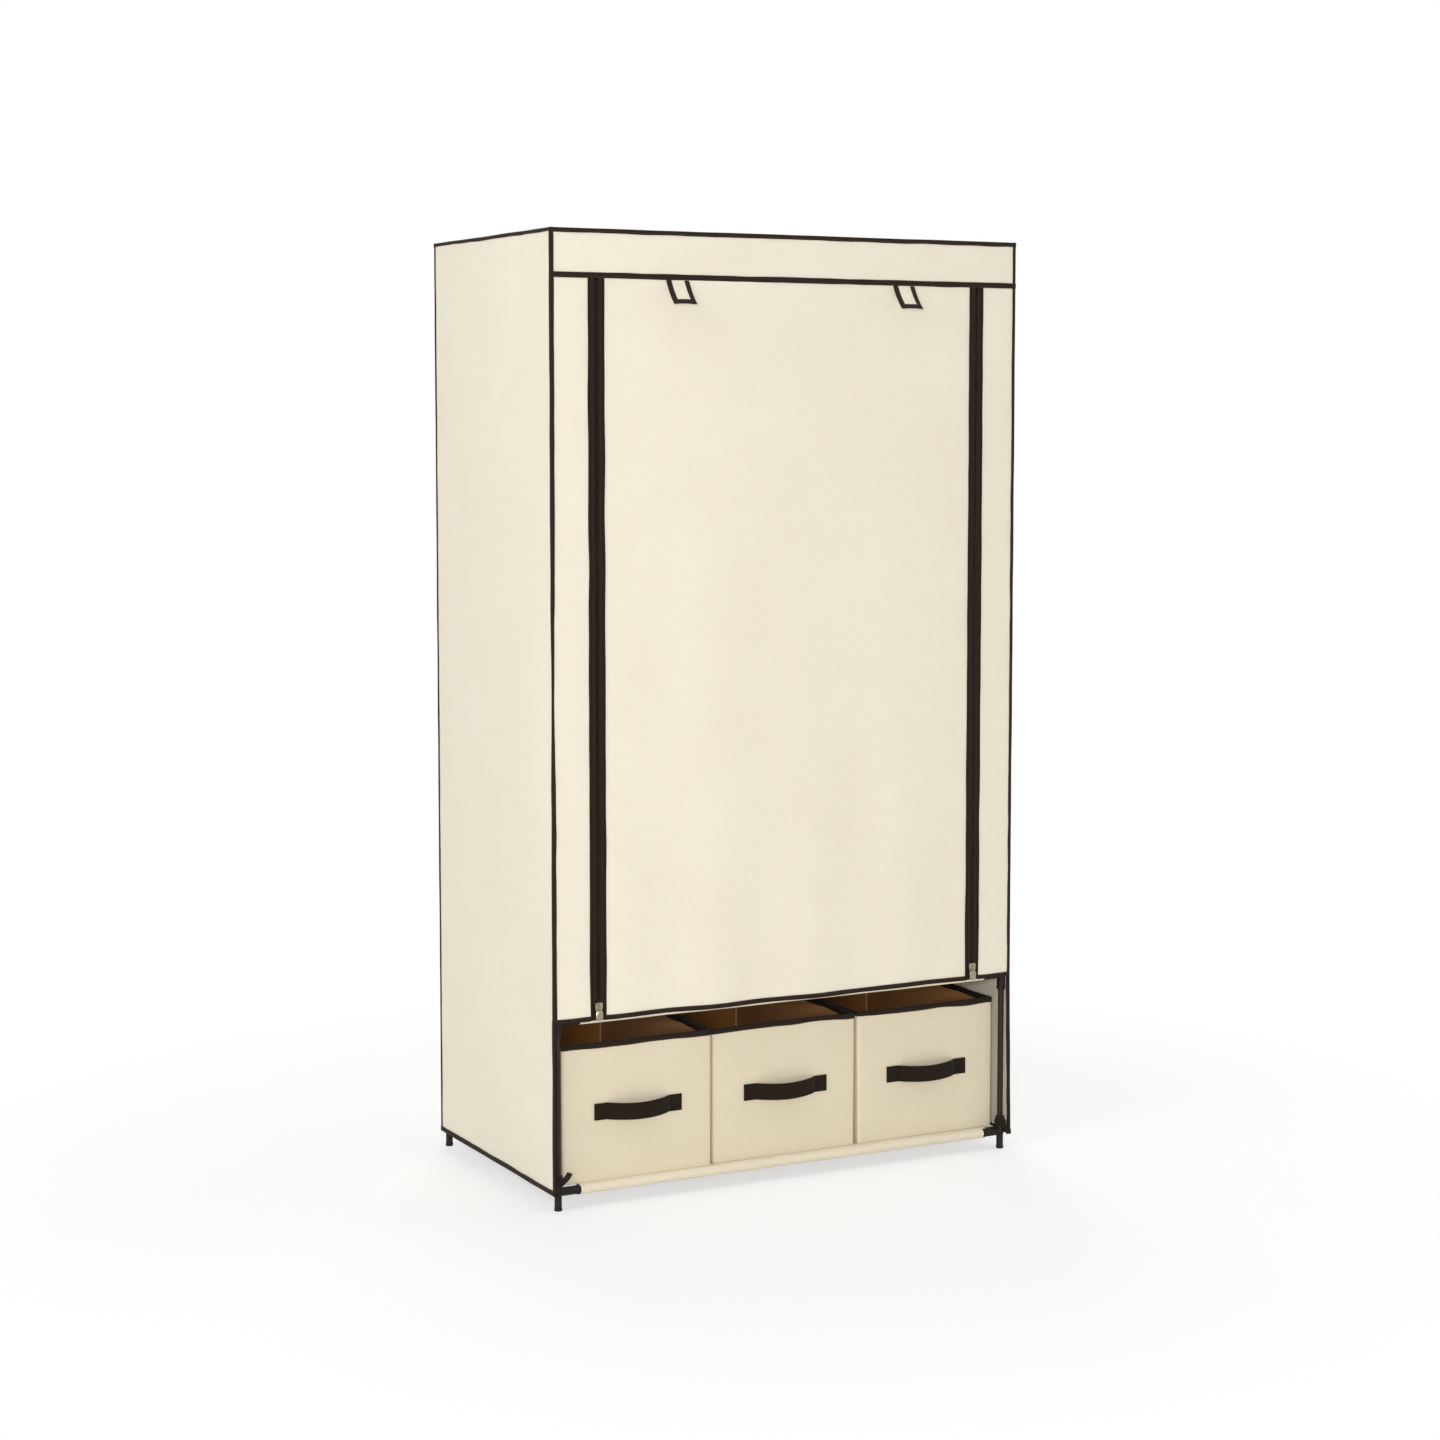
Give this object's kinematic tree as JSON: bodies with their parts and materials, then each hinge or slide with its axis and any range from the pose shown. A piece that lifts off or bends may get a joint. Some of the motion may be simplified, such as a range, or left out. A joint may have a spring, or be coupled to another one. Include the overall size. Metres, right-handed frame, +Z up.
{
  "type": "portable fabric wardrobe",
  "caption": "Free-standing cloth wardrobe: a steel tube frame in plastic joints, a sewn cover with a zipped roll-up front curtain, a cloth shelf and cloth drawers below.",
  "frame": {"origin": "on the floor, under the middle of the wardrobe's box, whose depth includes the standing curtain tabs", "axes": "+X to the right and -Y to the front as one faces the curtain, +Z up"},
  "size_m": [0.88, 0.5196, 1.59],
  "materials": {
    "tube_coating": "dark brown coating, satin",
    "joint_plastic": "dark brown moulded plastic, fine matt texture",
    "cover_cloth": "cream non-woven cloth, matt",
    "panel_cloth": "cream non-woven cloth, matt, sewn in sleeves",
    "drawer_cloth": "cream non-woven cloth over stiff board, brown lining, matt",
    "binding_tape": "dark brown woven binding tape",
    "zip_tape": "dark brown zip tape with a coil",
    "strap_webbing": "dark brown woven webbing, sewn flat at its ends",
    "zip_metal": "bright nickel plate, lightly rubbed"
  },
  "bodies": {
    "root": {"foot_joint_front_left": "joint_plastic", "foot_joint_front_right": "joint_plastic", "foot_joint_back_left": "joint_plastic", "foot_joint_back_right": "joint_plastic", "shelf_joint_front_left": "joint_plastic", "shelf_joint_front_right": "joint_plastic", "shelf_joint_back_left": "joint_plastic", "shelf_joint_back_right": "joint_plastic", "top_joint_front_left": "joint_plastic", "top_joint_front_right": "joint_plastic", "top_joint_back_left": "joint_plastic", "top_joint_back_right": "joint_plastic", "rail_tee_left": "joint_plastic", "rail_tee_right": "joint_plastic", "lower_post_front_left": "tube_coating", "lower_post_front_right": "tube_coating", "lower_post_back_left": "tube_coating", "lower_post_back_right": "tube_coating", "upper_post_front_left": "tube_coating", "upper_post_front_right": "tube_coating", "upper_post_back_left": "tube_coating", "upper_post_back_right": "tube_coating", "base_rail_front": "tube_coating", "base_rail_back": "tube_coating", "base_rail_left": "tube_coating", "base_rail_right": "tube_coating", "shelf_rail_front": "tube_coating", "shelf_rail_back": "tube_coating", "shelf_rail_left": "tube_coating", "shelf_rail_right": "tube_coating", "top_rail_front": "tube_coating", "top_rail_back": "tube_coating", "top_rail_left": "tube_coating", "top_rail_right": "tube_coating", "hanging_rail": "tube_coating", "base_panel": "panel_cloth", "shelf_panel": "panel_cloth", "cover": "cover_cloth", "cover_binding": "binding_tape", "stile_zip_left": "zip_tape", "stile_zip_right": "zip_tape", "corner_tie_left": "binding_tape", "corner_tie_right": "binding_tape"},
    "curtain": {"curtain": "cover_cloth", "curtain_tape": "binding_tape"},
    "roll_tab_left": {"roll_tab_left": "cover_cloth"},
    "roll_tab_right": {"roll_tab_right": "cover_cloth"},
    "zip_slider_left": {"zip_slider_left": "zip_metal"},
    "zip_slider_right": {"zip_slider_right": "zip_metal"},
    "zip_pull_left": {"zip_pull_left": "zip_metal"},
    "zip_pull_right": {"zip_pull_right": "zip_metal"},
    "drawer_left": {"drawer_left": "drawer_cloth", "drawer_rim_left": "binding_tape", "drawer_handle_left": "strap_webbing"},
    "drawer_middle": {"drawer_middle": "drawer_cloth", "drawer_rim_middle": "binding_tape", "drawer_handle_middle": "strap_webbing"},
    "drawer_right": {"drawer_right": "drawer_cloth", "drawer_rim_right": "binding_tape", "drawer_handle_right": "strap_webbing"}
  },
  "joints": [
    {"name": "curtain_lift", "type": "hinge", "parent": "root", "child": "curtain", "pos_m": [0, -0.23048, 1.5115], "axis": [-1, 0, 0], "range_deg": [0, 90]},
    {"name": "tab_swing_left", "type": "hinge", "parent": "curtain", "child": "roll_tab_left", "pos_m": [-0.214, -0.23048, 1.51], "axis": [-1, 0, 0], "range_deg": [-15, 40]},
    {"name": "tab_swing_right", "type": "hinge", "parent": "curtain", "child": "roll_tab_right", "pos_m": [0.214, -0.23048, 1.51], "axis": [-1, 0, 0], "range_deg": [-15, 40]},
    {"name": "zip_slide_left", "type": "slide", "parent": "curtain", "child": "zip_slider_left", "axis": [0, 0, 1], "range_m": [0, 1.15]},
    {"name": "zip_slide_right", "type": "slide", "parent": "curtain", "child": "zip_slider_right", "axis": [0, 0, 1], "range_m": [0, 1.15]},
    {"name": "pull_swing_left", "type": "hinge", "parent": "zip_slider_left", "child": "zip_pull_left", "pos_m": [-0.36, -0.23418, 0.3345], "axis": [-1, 0, 0], "range_deg": [0, 160]},
    {"name": "pull_swing_right", "type": "hinge", "parent": "zip_slider_right", "child": "zip_pull_right", "pos_m": [0.36, -0.23418, 0.3345], "axis": [-1, 0, 0], "range_deg": [0, 160]},
    {"name": "drawer_slide_left", "type": "slide", "parent": "root", "child": "drawer_left", "axis": [0, -1, 0], "range_m": [0, 0.3]},
    {"name": "drawer_slide_middle", "type": "slide", "parent": "root", "child": "drawer_middle", "axis": [0, -1, 0], "range_m": [0, 0.3]},
    {"name": "drawer_slide_right", "type": "slide", "parent": "root", "child": "drawer_right", "axis": [0, -1, 0], "range_m": [0, 0.3]}
  ]
}
